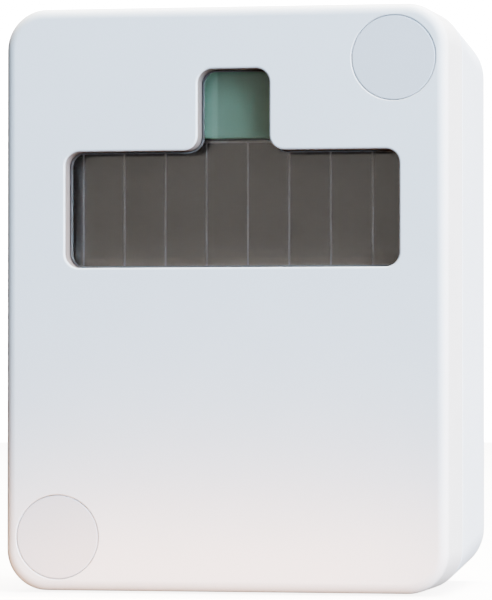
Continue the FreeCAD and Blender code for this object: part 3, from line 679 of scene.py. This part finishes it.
class SENSOR_OT_shells(bpy.types.Operator):
    """Makes the front cover and the rear housing, with the marks that their mould leaves inside"""

    bl_idname = "sensor.shells"
    bl_label = "Shells"

    pin_radius: length("Ejector pin", "Radius of the round marks that ejector pins leave", 1.1 * MM)

    def execute(self, context):
        carry("shells")
        self.shade_window_reveal(bpy.data.objects["front_cover_piece"])
        inner = front_of("front_cover") - FRONT_WALL
        cover_marks = [(x, inner - 0.02, z) for x in (-16, 0, 16) for z in (-19, -8)]
        foot = self.pin_radius / MM
        studs("cover_pin_marks", cover_marks, foot, foot, 0.06, "cover_plastic", "housing_white", "cover", 28)
        base_marks = [(x, BACK_WALL, z) for x in (-12, 0, 12) for z in (-23, -8, 8, 23)]
        studs("base_pin_marks", base_marks, foot, foot, 0.06, "base_plastic_cool_light", "housing_white", "base", 28)
        return {"FINISHED"}

    def shade_window_reveal(self, cover):
        """Paints shade on the window's inner walls, behind its rounded front edge, with a darker, duller copy
        of the plastic.
        """
        dress(cover, "cover_plastic", "reveal_painted_shade")
        edge = -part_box("front_cover")[0].y - 0.3 * MM
        low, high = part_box("window_gasket")
        for face in cover.data.polygons:
            middle = face.center
            inside = low.x < middle.x < high.x and low.z < middle.z < high.z
            if inside and -low.y < -middle.y < edge and abs(face.normal.y) < FLAT:
                face.material_index = 1


class SENSOR_OT_caps(bpy.types.Operator):
    """Makes the two screw caps, each a snug fit in its bore"""

    bl_idname = "sensor.caps"
    bl_label = "Screw Caps"

    def execute(self, context):
        grow = context.scene.sensor_sizes.cap_growth
        for node, body in (("screw_cap_upper", "cap_upper"), ("screw_cap_lower", "cap_lower")):
            cap = refined(node, "cap_plastic", body, "cap_white")
            low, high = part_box(node)
            middle, radius = (low + high) / 2, (high.x - low.x) / 2
            for corner in cap.data.vertices:
                off = Vector((corner.co.x - middle.x, 0, corner.co.z - middle.z))
                if off.length > 0.9 * radius:
                    corner.co += off.normalized() * grow
        return {"FINISHED"}


class SENSOR_OT_seals(bpy.types.Operator):
    """Makes the foam seal, the window gasket and the rubber rings"""

    bl_idname = "sensor.seals"
    bl_label = "Seals"

    def execute(self, context):
        carry("seals")
        return {"FINISHED"}


class SENSOR_OT_window(bpy.types.Operator):
    """Makes the clear stepped pane, with its sides painted dark as shade"""

    bl_idname = "sensor.window"
    bl_label = "Window"

    def execute(self, context):
        carry("window")
        pane = bpy.data.objects["window_pane_piece"]
        dress(pane, "clear_acrylic", "pane_side_shade")
        low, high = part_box("window_pane")
        for face in pane.data.polygons:
            depth = face.center.y
            at_face = depth < low.y + 0.02 * MM or depth > high.y - 0.02 * MM
            # Every face but the front and the back gets the dark painted shade.
            face.material_index = 0 if at_face and abs(face.normal.y) > 0.99 else 1
        return {"FINISHED"}


class SENSOR_OT_sensor(bpy.types.Operator):
    """Makes the green filter tile and the light sensor behind it"""

    bl_idname = "sensor.light_sensor"
    bl_label = "Filter and Light Sensor"

    def execute(self, context):
        carry("sensor")
        low, high, _ = box_in_mm("sensor_board")
        face, inset = -low.y, 0.7
        pads = [(low.x + inset, face, z) for z in (20.2, 21.5, 24.6)]
        pads += [(high.x - inset, face, z) for z in (20.2, 24.6)]
        studs("sensor_board_joints", pads, 0.32, 0.16, 0.14, "solder", "solder_tin")
        return {"FINISHED"}


class SENSOR_OT_board(bpy.types.Operator):
    """Makes the main board with its tracks, vias, solder joints and printed outlines"""

    bl_idname = "sensor.board"
    bl_label = "Main Board"

    def execute(self, context):
        carry("board")
        sizes = context.scene.sensor_sizes
        face = front_of("main_board")
        ribbons("board_tracks", board_tracks(), sizes.track, face, 0.035, "track_resist", "board_green")
        ribbons("board_print", board_outlines(), sizes.print_line, face, 0.02, "print_ink", "board_green")
        ends = [(path[-1][0], face, path[-1][1]) for path in board_tracks()]
        studs("board_vias", ends, 0.34, 0.3, 0.06, "gold_flash", "pin_gold", sides=14)
        joints = [(x, face, z) for x, z in BOARD_JOINTS]
        studs("board_joints", joints, 0.75, 0.25, 0.5, "solder", "solder_tin", sides=18)
        return {"FINISHED"}


BOARD_JOINTS = ((14.4, 1.6), (16.2, 1.6), (-9.6, 21.1), (2.4, 25.3))
RADIO_PINS = [3.0 + 1.27 * i for i in range(10)]


def board_tracks():
    """Copper tracks on the main board's front, each a path of (across, up) in millimetres."""
    tracks = []
    for i in range(3):
        lane, pin = 15.85 + 0.42 * i, RADIO_PINS[i]
        corner = (-lane, pin - lane + 15.7)
        tracks.append([(-15.7, pin), corner, (-lane, -18.9 - 0.4 * i), (-12.6 + i, -22.0)])
    for i in range(4):
        lane, pin = 2.1 + 0.55 * i, RADIO_PINS[9 - i]
        tracks.append([(1.5, pin), (lane, pin + lane - 1.5), (lane, 18.0 - 0.3 * i)])
    for i in range(4):
        lane, pin = 4.4 - 0.55 * i, RADIO_PINS[i]
        tracks.append([(1.5, pin), (lane, pin - lane + 1.5), (lane, -0.6 + 0.3 * i)])
    tracks += [
        [(14.4, 1.6), (14.4, 3.4), (12.9, 4.9)],
        [(16.2, 1.6), (17.0, 0.8), (17.0, -12.4), (15.9, -13.5), (15.9, -18.8), (12.5, -22.2)],
        [(18.9, 9.4), (16.9, 11.4), (16.9, 12.6)],
        [(18.9, 7.4), (20.6, 5.7), (20.6, -11.5)],
        [(18.6, -1.6), (19.9, -2.9), (19.9, -9.6)],
        [(-19.5, -1.5), (-20.6, -0.4), (-20.6, 12.4)],
        [(-17.3, -3.4), (-17.3, 0.6), (-16.6, 1.3)],
        [(-19.4, -9.8), (-20.7, -11.1), (-20.7, -12.8)],
        [(2.6, -21.6), (4.4, -21.6), (5.4, -20.6), (5.4, -19.2)],
        [(2.6, -22.4), (3.4, -23.2), (3.4, -21.9)],
        [(-2.4, -21.0), (-4.2, -19.2), (-9.0, -19.2)],
        [(-2.4, -22.2), (-3.2, -22.2), (-3.2, -28.2), (-1.7, -28.2)],
        [(-0.3, -23.2), (-0.3, -26.2)],
        [(-9.6, -24.0), (-11.4, -24.0), (-12.4, -23.0), (-12.4, -21.4)],
        [(-9.6, -26.0), (-12.0, -26.0), (-13.4, -24.6), (-13.4, -19.6)],
        [(7.2, -21.2), (7.2, -22.2)],
        [(10.6, -20.2), (13.6, -20.2), (14.4, -21.0), (14.4, -22.6)],
        [(8.0, 24.2), (6.4, 25.8), (6.4, 28.2), (-4.0, 28.2)],
        [(8.0, 22.4), (6.0, 20.4), (6.0, 19.0)],
        [(12.3, 22.4), (13.5, 21.2), (13.5, 18.4)],
        [(-9.6, 21.1), (-11.6, 21.1), (-13.6, 19.1), (-13.6, 18.2)],
        [(2.4, 25.3), (3.6, 26.5), (5.2, 26.5)],
        [(-14.0, 22.0), (-14.0, 26.4), (-12.2, 28.2), (-6.2, 28.2)],
    ]
    return tracks


def loop(x0, x1, z0, z1):
    """A rectangle as a closed path that starts in the middle of a side."""
    middle = (x0 + x1) / 2
    return [(middle, z0), (x1, z0), (x1, z1), (x0, z1), (x0, z0), (middle - 0.01, z0)]


def board_outlines():
    """Printed outlines round the larger parts. They hold no lettering."""
    lines = [
        loop(-15.85, 15.85, -18.55, -0.65),
        loop(-9.9, -2.9, -28.5, -21.5),
        loop(1.9, 10.1, -27.8, -22.2),
        loop(-10.6, 3.6, 20.3, 26.3),
        loop(-2.9, 1.7, -23.5, -19.7),
        loop(-18.9, -15.7, -8.6, -3.4),
    ]
    x, z = CAPACITOR
    turns = [t / 24 * math.pi for t in range(49)]
    ring = [(x + 5.9 * math.cos(t), z + 5.9 * math.sin(t)) for t in turns]
    lines.append(ring[:-1] + [(ring[0][0], ring[0][1] - 0.01)])
    lines += [[(17.2, 17.9), (17.2, 19.1)], [(16.6, 18.5), (17.8, 18.5)], [(3.2, 17.4), (4.4, 17.4)]]
    return lines


class SENSOR_OT_radio(bpy.types.Operator):
    """Makes the radio board with its plated half holes, the tinned can and the wound aerial"""

    bl_idname = "sensor.radio"
    bl_label = "Radio"

    def execute(self, context):
        carry("radio")
        low, high, _ = box_in_mm("radio_board")
        face = -low.y
        pads = [(x, face - 0.01, z) for x in (low.x + 0.45, high.x - 0.45) for z in RADIO_PINS]
        bars("radio_pads", pads, (0.9, 0.06, 0.8), "gold_flash", "pin_gold")
        joints = [(x, face - 1.0, z) for x in (low.x - 0.12, high.x + 0.12) for z in RADIO_PINS]
        studs("radio_joints", joints, 0.42, 0.18, 0.75, "solder", "solder_tin", sides=14)
        low, _, middle = box_in_mm("radio_shield")
        top = -low.y
        spots = [(middle.x + dx, top, middle.z + dz) for dx in (-4.2, 4.2) for dz in (1.5, 4.6)]
        studs("shield_dimples", spots, 0.5, 0.36, 0.05, "tin_plate", "shield_tin", sides=20)
        parts = [(-14.7, face + 0.2, z) for z in (5.2, 8.9, 12.7)]
        bars("radio_parts", parts, (0.5, 0.4, 1.0), "chip_ceramic", "chip_tan")
        return {"FINISHED"}


class SENSOR_OT_components(bpy.types.Operator):
    """Makes the capacitor, the chips with their legs, and the small parts with their metal ends"""

    bl_idname = "sensor.components"
    bl_label = "Board Parts"

    def execute(self, context):
        carry("components")
        face = front_of("main_board")
        self.small_part_ends(face)
        self.chip_legs(face)
        self.capacitor_marks(face)
        return {"FINISHED"}

    def small_part_ends(self, face):
        """The tinned ends of the small chip parts."""
        half, out = 0.68, face + 0.31
        across = [(x + end, out, z) for x, z in SMALL_PARTS_ACROSS for end in (-half, half)]
        up = [(x, out, z + end) for x, z in SMALL_PARTS_UP for end in (-half, half)]
        bars("small_part_ends_across", across, (0.34, 0.66, 0.86), "solder", "solder_tin")
        bars("small_part_ends_up", up, (0.86, 0.66, 0.34), "solder", "solder_tin")

    def chip_legs(self, face):
        """The legs of both chips, 0.65 mm apart, and the dot by each chip's first leg."""
        (x, z), (x_low, z_low) = CHIPS
        across = [(x + side, face + 0.2, z - 1.625 + 0.65 * i) for i in range(6) for side in (-1.55, 1.55)]
        up = [(x_low - 1.3 + 0.65 * i, face + 0.16, z_low + side) for i in range(5) for side in (-1.7, 1.7)]
        bars("chip_legs_across", across, (0.6, 0.16, 0.26), "solder", "solder_tin")
        bars("chip_legs_up", up, (0.26, 0.16, 0.6), "solder", "solder_tin")
        dots = [(-18.1, face + 1.0, -4.4), (-1.9, face + 0.9, -20.6)]
        studs("chip_dots", dots, 0.22, 0.2, 0.02, "print_ink", "chip_black")

    def capacitor_marks(self, face):
        """The crossed vent in the capacitor's top, and the stripe down its side."""
        x, z = CAPACITOR
        vents = [(x, front_of("storage_capacitor"), z)] * 2
        crossed = [0.5, 0.5 + math.pi / 2]
        bars("capacitor_vent", vents, (5.6, 0.05, 0.22), "tin_plate", "capacitor_sleeve", crossed)
        radius, turns = 5.34, (2.9, 3.0, 3.1, 3.2, 3.3)
        stripe = [(x + radius * math.cos(t), face + 3.0, z + radius * math.sin(t)) for t in turns]
        bars("capacitor_stripe", stripe, (0.05, 3.6, 0.56), "print_ink", "capacitor_sleeve",
             [-t for t in turns])


SMALL_PARTS_ACROSS = [(-19.5, -1.5 - 2.2 * i) for i in range(2)] + [(-19.4, -9.8 - 1.8 * i) for i in range(2)]
SMALL_PARTS_ACROSS += [(18.9, 9.4 - 2.0 * i) for i in range(2)] + [(18.6, -1.6 - 1.8 * i) for i in range(5)]
SMALL_PARTS_ACROSS += [(8.0, 24.2 - 1.8 * i) for i in range(2)]
SMALL_PARTS_UP = [(x + 1.7 * i, -20.2) for x in (-10.8, 7.2) for i in range(3)] + [(10.6, 22.4)]


class SENSOR_OT_settings(bpy.types.Operator):
    """Makes the learn button, the jumpers and their pins"""

    bl_idname = "sensor.settings"
    bl_label = "Learn Button and Jumpers"

    def execute(self, context):
        carry("settings")
        low, _, middle = box_in_mm("learn_switch")
        top, legs_out = -low.y, front_of("main_board") + 0.15
        corners = [(middle.x + dx, top, middle.z + dz) for dx in (-2.3, 2.3) for dz in (-2.3, 2.3)]
        studs("switch_rivets", corners, 0.38, 0.3, 0.14, "button_plastic", "switch_black", sides=18)
        legs = [(middle.x + dx, legs_out, middle.z + dz) for dx in (-3.5, 3.5) for dz in (-2.0, 2.0)]
        bars("switch_legs", legs, (1.1, 0.2, 0.7), "solder", "solder_tin")
        return {"FINISHED"}


class SENSOR_OT_battery(bpy.types.Operator):
    """Makes the battery in its cradle, with polarity marks on its sleeve"""

    bl_idname = "sensor.battery"
    bl_label = "Battery"

    def execute(self, context):
        carry("battery")
        low, high, middle = box_in_mm("battery_sleeve")
        top, radius = -low.y, (high.z - low.z) / 2
        made = bmesh.new()
        for path, width in (
            ([(6.4, 0), (8.8, 0)], 0.55),
            ([(7.6, -1.2), (7.6, 1.2)], 0.55),
            ([(-8.8, 0), (-6.4, 0)], 0.55),
            ([(-4.6, 3.2), (4.6, 3.2)], 0.3),
            ([(-4.6, -3.2), (4.6, -3.2)], 0.3),
        ):
            edge = [p + Vector((middle.x, middle.z)) * MM for p in ribbon(path, width)]
            add_solid(made, [(edge, top - radius), (edge, top - radius + 1)])
        for corner in made.verts:
            side = corner.co.z - middle.z * MM
            raised = 0.02 if corner.co.y < -(top - radius + 0.5) * MM else -0.05
            corner.co.y = -(top - radius) * MM - math.sqrt(((radius + raised) * MM) ** 2 - side ** 2)
        marks = piece_from(made, "battery_marks")
        dress(marks, "sleeve_print")
        smooth(marks)
        settle(marks, "base", "cell_sleeve")
        return {"FINISHED"}


class SENSOR_OT_wires(bpy.types.Operator):
    """Makes the two short wires from the solar module to the board"""

    bl_idname = "sensor.wires"
    bl_label = "Wires"

    def execute(self, context):
        carry("wires")
        return {"FINISHED"}


class SENSOR_OT_screws(bpy.types.Operator):
    """Makes the cover screws with their threads, and the knurled inserts"""

    bl_idname = "sensor.screws"
    bl_label = "Screws and Inserts"

    def execute(self, context):
        carry("screws")
        sizes = context.scene.sensor_sizes
        pitch, radius, lead_in, steps = sizes.thread_pitch / MM, 1.83, 0.7, 24
        turns = [i / steps for i in range(int(steps * 6.2))]
        links = [(i, i + 1) for i in range(len(turns) - 1)]
        values = {"Radius": sizes.thread_wire, "Sides": 4}
        for node, body in (("cover_screw_upper", "screw_upper"), ("cover_screw_lower", "screw_lower")):
            _, high, middle = box_in_mm(node)
            start = -high.y + lead_in
            path = [(middle.x + radius * math.cos(2 * math.pi * t), start + pitch * t,
                     middle.z + radius * math.sin(2 * math.pi * t)) for t in turns]
            grown(body + "_thread", "sweep", path, values, "zinc_steel", body, "screw_steel", edges=links)
        places, turns = [], []
        for x, z in SCREWS:
            for out in (19.1, 22.5):
                ring, angles = round_places(x, z, out, 2.9, 36)
                places += ring
                turns += angles
        bars("insert_knurl", places, (0.22, 1.3, 0.26), "brass", "insert_brass", turns)
        return {"FINISHED"}


class SENSOR_OT_solar(bpy.types.Operator):
    """Makes the solar module on its carrier, with the front glass a hair in front of its cells"""

    bl_idname = "sensor.solar"
    bl_label = "Solar Module"

    gap: length("Gap", "Between the glass and the cells", 0.02 * MM)

    def execute(self, context):
        carry("solar")
        low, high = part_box("solar_glass")
        made = bmesh.new()
        bmesh.ops.create_cube(made, size=1)
        high = Vector((high.x, high.y - self.gap, high.z))
        for corner in made.verts:
            corner.co = Vector([low[i] + (corner.co[i] + 0.5) * (high[i] - low[i]) for i in range(3)])
        bmesh.ops.bevel(made, geom=made.edges[:], offset=0.04 * MM, segments=3, affect="EDGES", profile=0.5)
        obj = piece_from(made, "module_glass")
        dress(obj, "module_glass")
        smooth(obj)
        settle(obj, "base", "cell_glass", "solar_glass")
        return {"FINISHED"}


# The world's brightness: seen directly, everywhere else, and what is added behind glass
WHITE_GLOW, DIM_GLOW, GLASS_GLOW = 30.0, 0.08, 0.68
# name, azimuth, elevation, distance from the middle, tilt, width, height, power, colour
SOFT_LIGHTS = (
    ("front_softbox", 48, 16, 1.1, 16, 0.8, 0.8, 70, (0.535, 0.74, 1.0)),
    ("right_softbox", 93, 0, 0.9, 0, 0.6, 0.9, 47, (1.0, 0.80, 0.68)),
    ("top_softbox", 128, 78, 0.8, 78, 0.8, 0.6, 66, (1.0, 0.94, 0.84)),
    ("low_strip", 0, -44.8, 0.0433, 0, 0.060, 0.003, 0.021, (1.0, 0.54, 0.30)),
    ("back_softbox", 200, 30, 1.2, 30, 1.0, 1.0, 20, (0.97, 0.98, 1.0)),
)


class SENSOR_OT_stage(bpy.types.Operator):
    """Sets up the camera, the soft lights and the pale floor"""

    bl_idname = "sensor.stage"
    bl_label = "Stage"

    def execute(self, context):
        stage = context.scene.sensor_stage
        low, high = CAD_BOX
        middle = (low + high) / 2
        self.camera(context, stage, middle)
        self.floor(context, stage, low.z)
        self.lights(context, middle)
        self.world(context)
        return {"FINISHED"}

    def camera(self, context, stage, middle):
        target = middle + Vector((stage.look_x, 0, stage.look_z))
        back = facing(stage.azimuth, stage.elevation)
        data = bpy.data.cameras.new("camera")
        data.lens = stage.lens
        data.sensor_width = 36
        data.clip_start = 0.01
        data.clip_end = 20
        camera = bpy.data.objects.new("camera", data)
        context.scene.collection.objects.link(camera)
        camera.location = target + back * stage.distance
        camera.rotation_mode = "QUATERNION"
        camera.rotation_quaternion = (-back).to_track_quat("-Z", "Y")
        context.scene.camera = camera

    def floor(self, context, stage, height):
        made = bmesh.new()
        bmesh.ops.create_circle(made, cap_ends=True, segments=96, radius=stage.floor)
        mesh = bpy.data.meshes.new("floor")
        made.to_mesh(mesh)
        made.free()
        floor = bpy.data.objects.new("floor", mesh)
        floor.location = (0, 0, height - 0.2 * MM)
        floor.visible_diffuse = False
        floor.visible_glossy = False
        floor.visible_transmission = False
        context.scene.collection.objects.link(floor)
        pale = Finish("pale_floor", (0.86, 0.85, 0.84), 0.7)
        pale.set("Emission Color", (1.0, 0.97, 0.94, 1)).set("Emission Strength", 7.0)
        pale.mottle(0.1, 0.01)
        floor.data.materials.append(pale.material)

    def lights(self, context, middle):
        for name, azimuth, elevation, away, tilt, wide, tall, power, hue in SOFT_LIGHTS:
            data = bpy.data.lights.new(name, "AREA")
            data.shape = "RECTANGLE"
            data.size, data.size_y = wide, tall
            data.energy = power
            data.color = hue
            lamp = bpy.data.objects.new(name, data)
            lamp.visible_camera = False
            azimuth, elevation, tilt = (math.radians(turn) for turn in (azimuth, elevation, tilt))
            lamp.location = middle + facing(azimuth, elevation) * away
            lamp.rotation_mode = "QUATERNION"
            shines = -facing(azimuth, tilt)
            lamp.rotation_quaternion = shines.to_track_quat("-Z", "Y")
            context.scene.collection.objects.link(lamp)

    def world(self, context):
        """A plain white surround where it is seen directly or through the pane. Elsewhere a dim light."""
        world = bpy.data.worlds.new("studio")
        world.use_nodes = True
        nodes, links = world.node_tree.nodes, world.node_tree.links
        dim = nodes["Background"]
        dim.inputs["Color"].default_value = (1.0, 0.94, 0.88, 1)
        white = nodes.new("ShaderNodeBackground")
        white.inputs["Strength"].default_value = WHITE_GLOW
        ray = nodes.new("ShaderNodeLightPath").outputs
        behind_glass = self.maths(world, "GREATER_THAN", ray["Transmission Depth"], 0.5)
        strength = self.maths(world, "MULTIPLY_ADD", behind_glass, GLASS_GLOW, DIM_GLOW)
        links.new(strength, dim.inputs["Strength"])
        bounces = self.maths(world, "ADD", ray["Diffuse Depth"], ray["Glossy Depth"])
        direct = self.maths(world, "LESS_THAN", bounces, 0.5)
        mix = nodes.new("ShaderNodeMixShader")
        links.new(direct, mix.inputs[0])
        links.new(dim.outputs[0], mix.inputs[1])
        links.new(white.outputs[0], mix.inputs[2])
        links.new(mix.outputs[0], nodes["World Output"].inputs["Surface"])
        context.scene.world = world

    def maths(self, world, operation, *values):
        """One sum in the world's nodes, of sockets and numbers."""
        node = world.node_tree.nodes.new("ShaderNodeMath")
        node.operation = operation
        for socket, value in zip(node.inputs, values):
            if isinstance(value, bpy.types.NodeSocket):
                world.node_tree.links.new(value, socket)
            else:
                socket.default_value = value
        return node.outputs[0]


def facing(azimuth, elevation):
    """Unit vector from the middle towards that azimuth and elevation. Azimuth 0 is in front."""
    flat = math.cos(elevation)
    return Vector((math.sin(azimuth) * flat, -math.cos(azimuth) * flat, math.sin(elevation)))


class SENSOR_PT_panel(bpy.types.Panel):
    """Lists the steps and their settings"""

    bl_idname = "SENSOR_PT_panel"
    bl_label = "Wall Light Sensor"
    bl_space_type = "VIEW_3D"
    bl_region_type = "UI"
    bl_category = "Sensor"

    def draw(self, context):
        for step in STEPS:
            self.layout.operator(step.bl_idname)
        for group in (getattr(context.scene, name) for name in GROUPS):
            for name in group.bl_rna.properties.keys():
                if name not in ("rna_type", "name"):
                    self.layout.prop(group, name)


STEPS = (
    SENSOR_OT_stage,
    SENSOR_OT_shells,
    SENSOR_OT_caps,
    SENSOR_OT_seals,
    SENSOR_OT_window,
    SENSOR_OT_solar,
    SENSOR_OT_sensor,
    SENSOR_OT_board,
    SENSOR_OT_radio,
    SENSOR_OT_components,
    SENSOR_OT_settings,
    SENSOR_OT_battery,
    SENSOR_OT_wires,
    SENSOR_OT_screws,
)
GROUPS = {"sensor_sizes": SensorSizes, "sensor_colours": SensorColours, "sensor_stage": SensorStage}
CLASSES = (*GROUPS.values(), *STEPS, SENSOR_PT_panel)


def register():
    for item in CLASSES:
        bpy.utils.register_class(item)
    for name, group in GROUPS.items():
        setattr(bpy.types.Scene, name, PointerProperty(type=group))


def unregister():
    for name in GROUPS:
        delattr(bpy.types.Scene, name)
    for item in reversed(CLASSES):
        bpy.utils.unregister_class(item)


def main():
    register()
    bpy.ops.sensor.stage()
    bpy.ops.sensor.shells()
    bpy.ops.sensor.caps()
    bpy.ops.sensor.seals()
    bpy.ops.sensor.window()
    bpy.ops.sensor.solar()
    bpy.ops.sensor.light_sensor()
    bpy.ops.sensor.board()
    bpy.ops.sensor.radio()
    bpy.ops.sensor.components()
    bpy.ops.sensor.settings()
    bpy.ops.sensor.battery()
    bpy.ops.sensor.wires()
    bpy.ops.sensor.screws()


if __name__ == "__main__":
    main()
